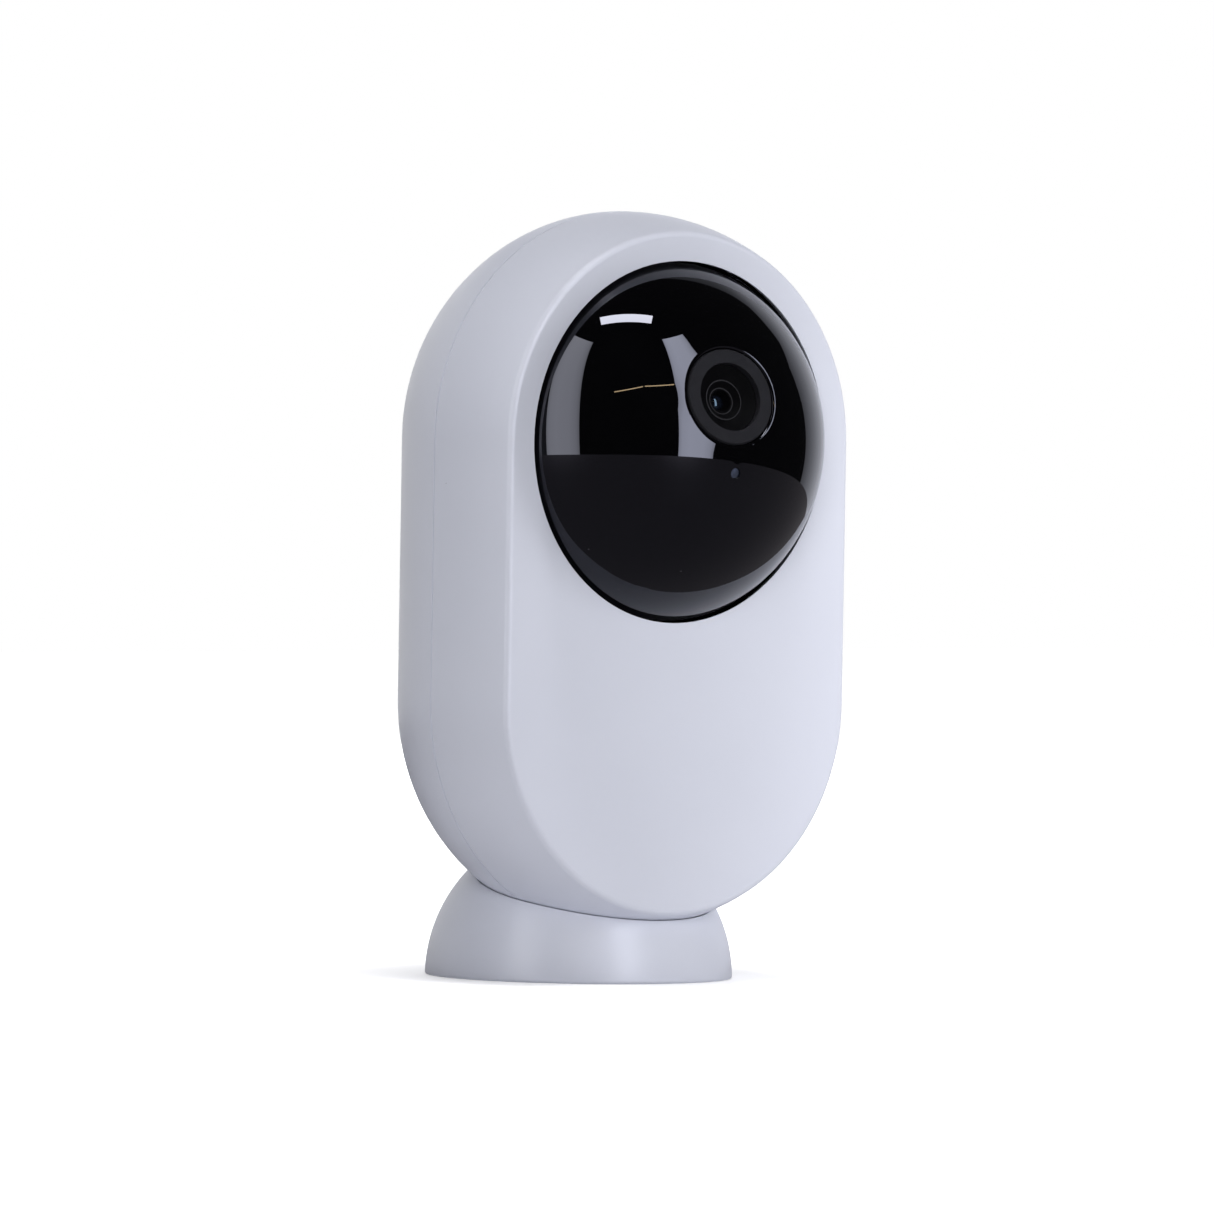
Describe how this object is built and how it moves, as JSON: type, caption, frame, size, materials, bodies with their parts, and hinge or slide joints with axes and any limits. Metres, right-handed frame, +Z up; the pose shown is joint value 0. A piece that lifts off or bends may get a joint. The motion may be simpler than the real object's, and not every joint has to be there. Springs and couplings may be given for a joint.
{
  "type": "security camera",
  "caption": "White oval indoor security camera on a half-ball foot, with a gloss black ball that pans and tilts behind a round opening and carries the lens.",
  "frame": {"origin": "centre of the foot's underside, at the mouth of the tripod socket", "axes": "+Z up, -Y the way the front face looks, +X to the right of someone looking at the front"},
  "size_m": [0.07, 0.0647, 0.1175],
  "materials": {
    "white_plastic": "satin",
    "gloss_black": "polished",
    "ring_grey": "matte",
    "black_plastic": "matte",
    "lens_glass": "coated",
    "window_plastic": "smoked",
    "board_green": "solder mask",
    "steel": "plated",
    "brass": "machined",
    "rubber": "matte",
    "gear_white": "moulded",
    "cone_black": "moulded"
  },
  "bodies": {
    "housing": {"front_housing": "white_plastic", "rear_cover": "white_plastic", "base_dome": "white_plastic", "ballast_plate": "steel", "foot_pad": "rubber", "tripod_insert": "brass", "stand_screws": "steel", "housing_screws": "steel", "ball_gasket": "black_plastic", "main_board": "board_green", "main_shield": "steel", "board_screws": "steel", "io_board": "board_green", "io_screws": "steel", "usb_socket": "steel", "port_panel": "white_plastic", "reset_switch": "black_plastic", "speaker": "cone_black", "mechanism_deck": "black_plastic", "deck_screws": "steel", "pan_bush": "brass", "pan_motor": "steel"},
    "pan_fork": {"pan_yoke": "black_plastic", "pan_sector": "gear_white", "pan_retainer": "steel", "pan_screw": "steel", "tilt_motor": "steel"},
    "pan_drive": {"pan_shaft": "steel", "pan_pinion": "brass"},
    "head": {"ball_shell": "gloss_black", "sensor_window": "window_plastic", "lens_ring": "ring_grey", "lens_barrel": "black_plastic", "lens_glass": "lens_glass", "lens_holder": "black_plastic", "sensor_board": "board_green", "sensor_chip": "black_plastic", "head_carrier": "black_plastic", "carrier_screws": "steel", "tilt_pins": "steel", "tilt_spacer": "gear_white", "tilt_gear": "gear_white"},
    "tilt_drive": {"tilt_shaft": "steel", "tilt_pinion": "brass"},
    "reset_button": {"reset_button": "gear_white"}
  },
  "joints": [
    {"name": "pan", "type": "hinge", "parent": "housing", "child": "pan_fork", "pos_m": [0, -0.01192, 0.0825], "axis": [0, 0, 1], "range_deg": [-30.8, 39.2]},
    {"name": "pan_motor_turn", "type": "hinge", "parent": "housing", "child": "pan_drive", "pos_m": [0, 0.00488, 0.046], "axis": [0, 0, 1], "range_deg": [-125.44, 98.56]},
    {"name": "tilt", "type": "hinge", "parent": "pan_fork", "child": "head", "pos_m": [0, -0.01192, 0.0825], "axis": [-0.9973, 0.0732, 0], "range_deg": [-34.7, 20.3]},
    {"name": "tilt_motor_turn", "type": "hinge", "parent": "pan_fork", "child": "tilt_drive", "pos_m": [0.00062, -0.00354, 0.06795], "axis": [-0.9973, 0.0732, 0], "range_deg": [-64.96, 111.04]},
    {"name": "reset_press", "type": "slide", "parent": "housing", "child": "reset_button", "axis": [0, -1, 0], "range_m": [0, 0.0005], "stiffness_N_per_m": 600, "springref_m": -0.0003}
  ],
  "couplings": [
    {"joint": "pan_motor_turn", "follows": "pan", "ratio": -3.2},
    {"joint": "tilt_motor_turn", "follows": "tilt", "ratio": -3.2}
  ]
}
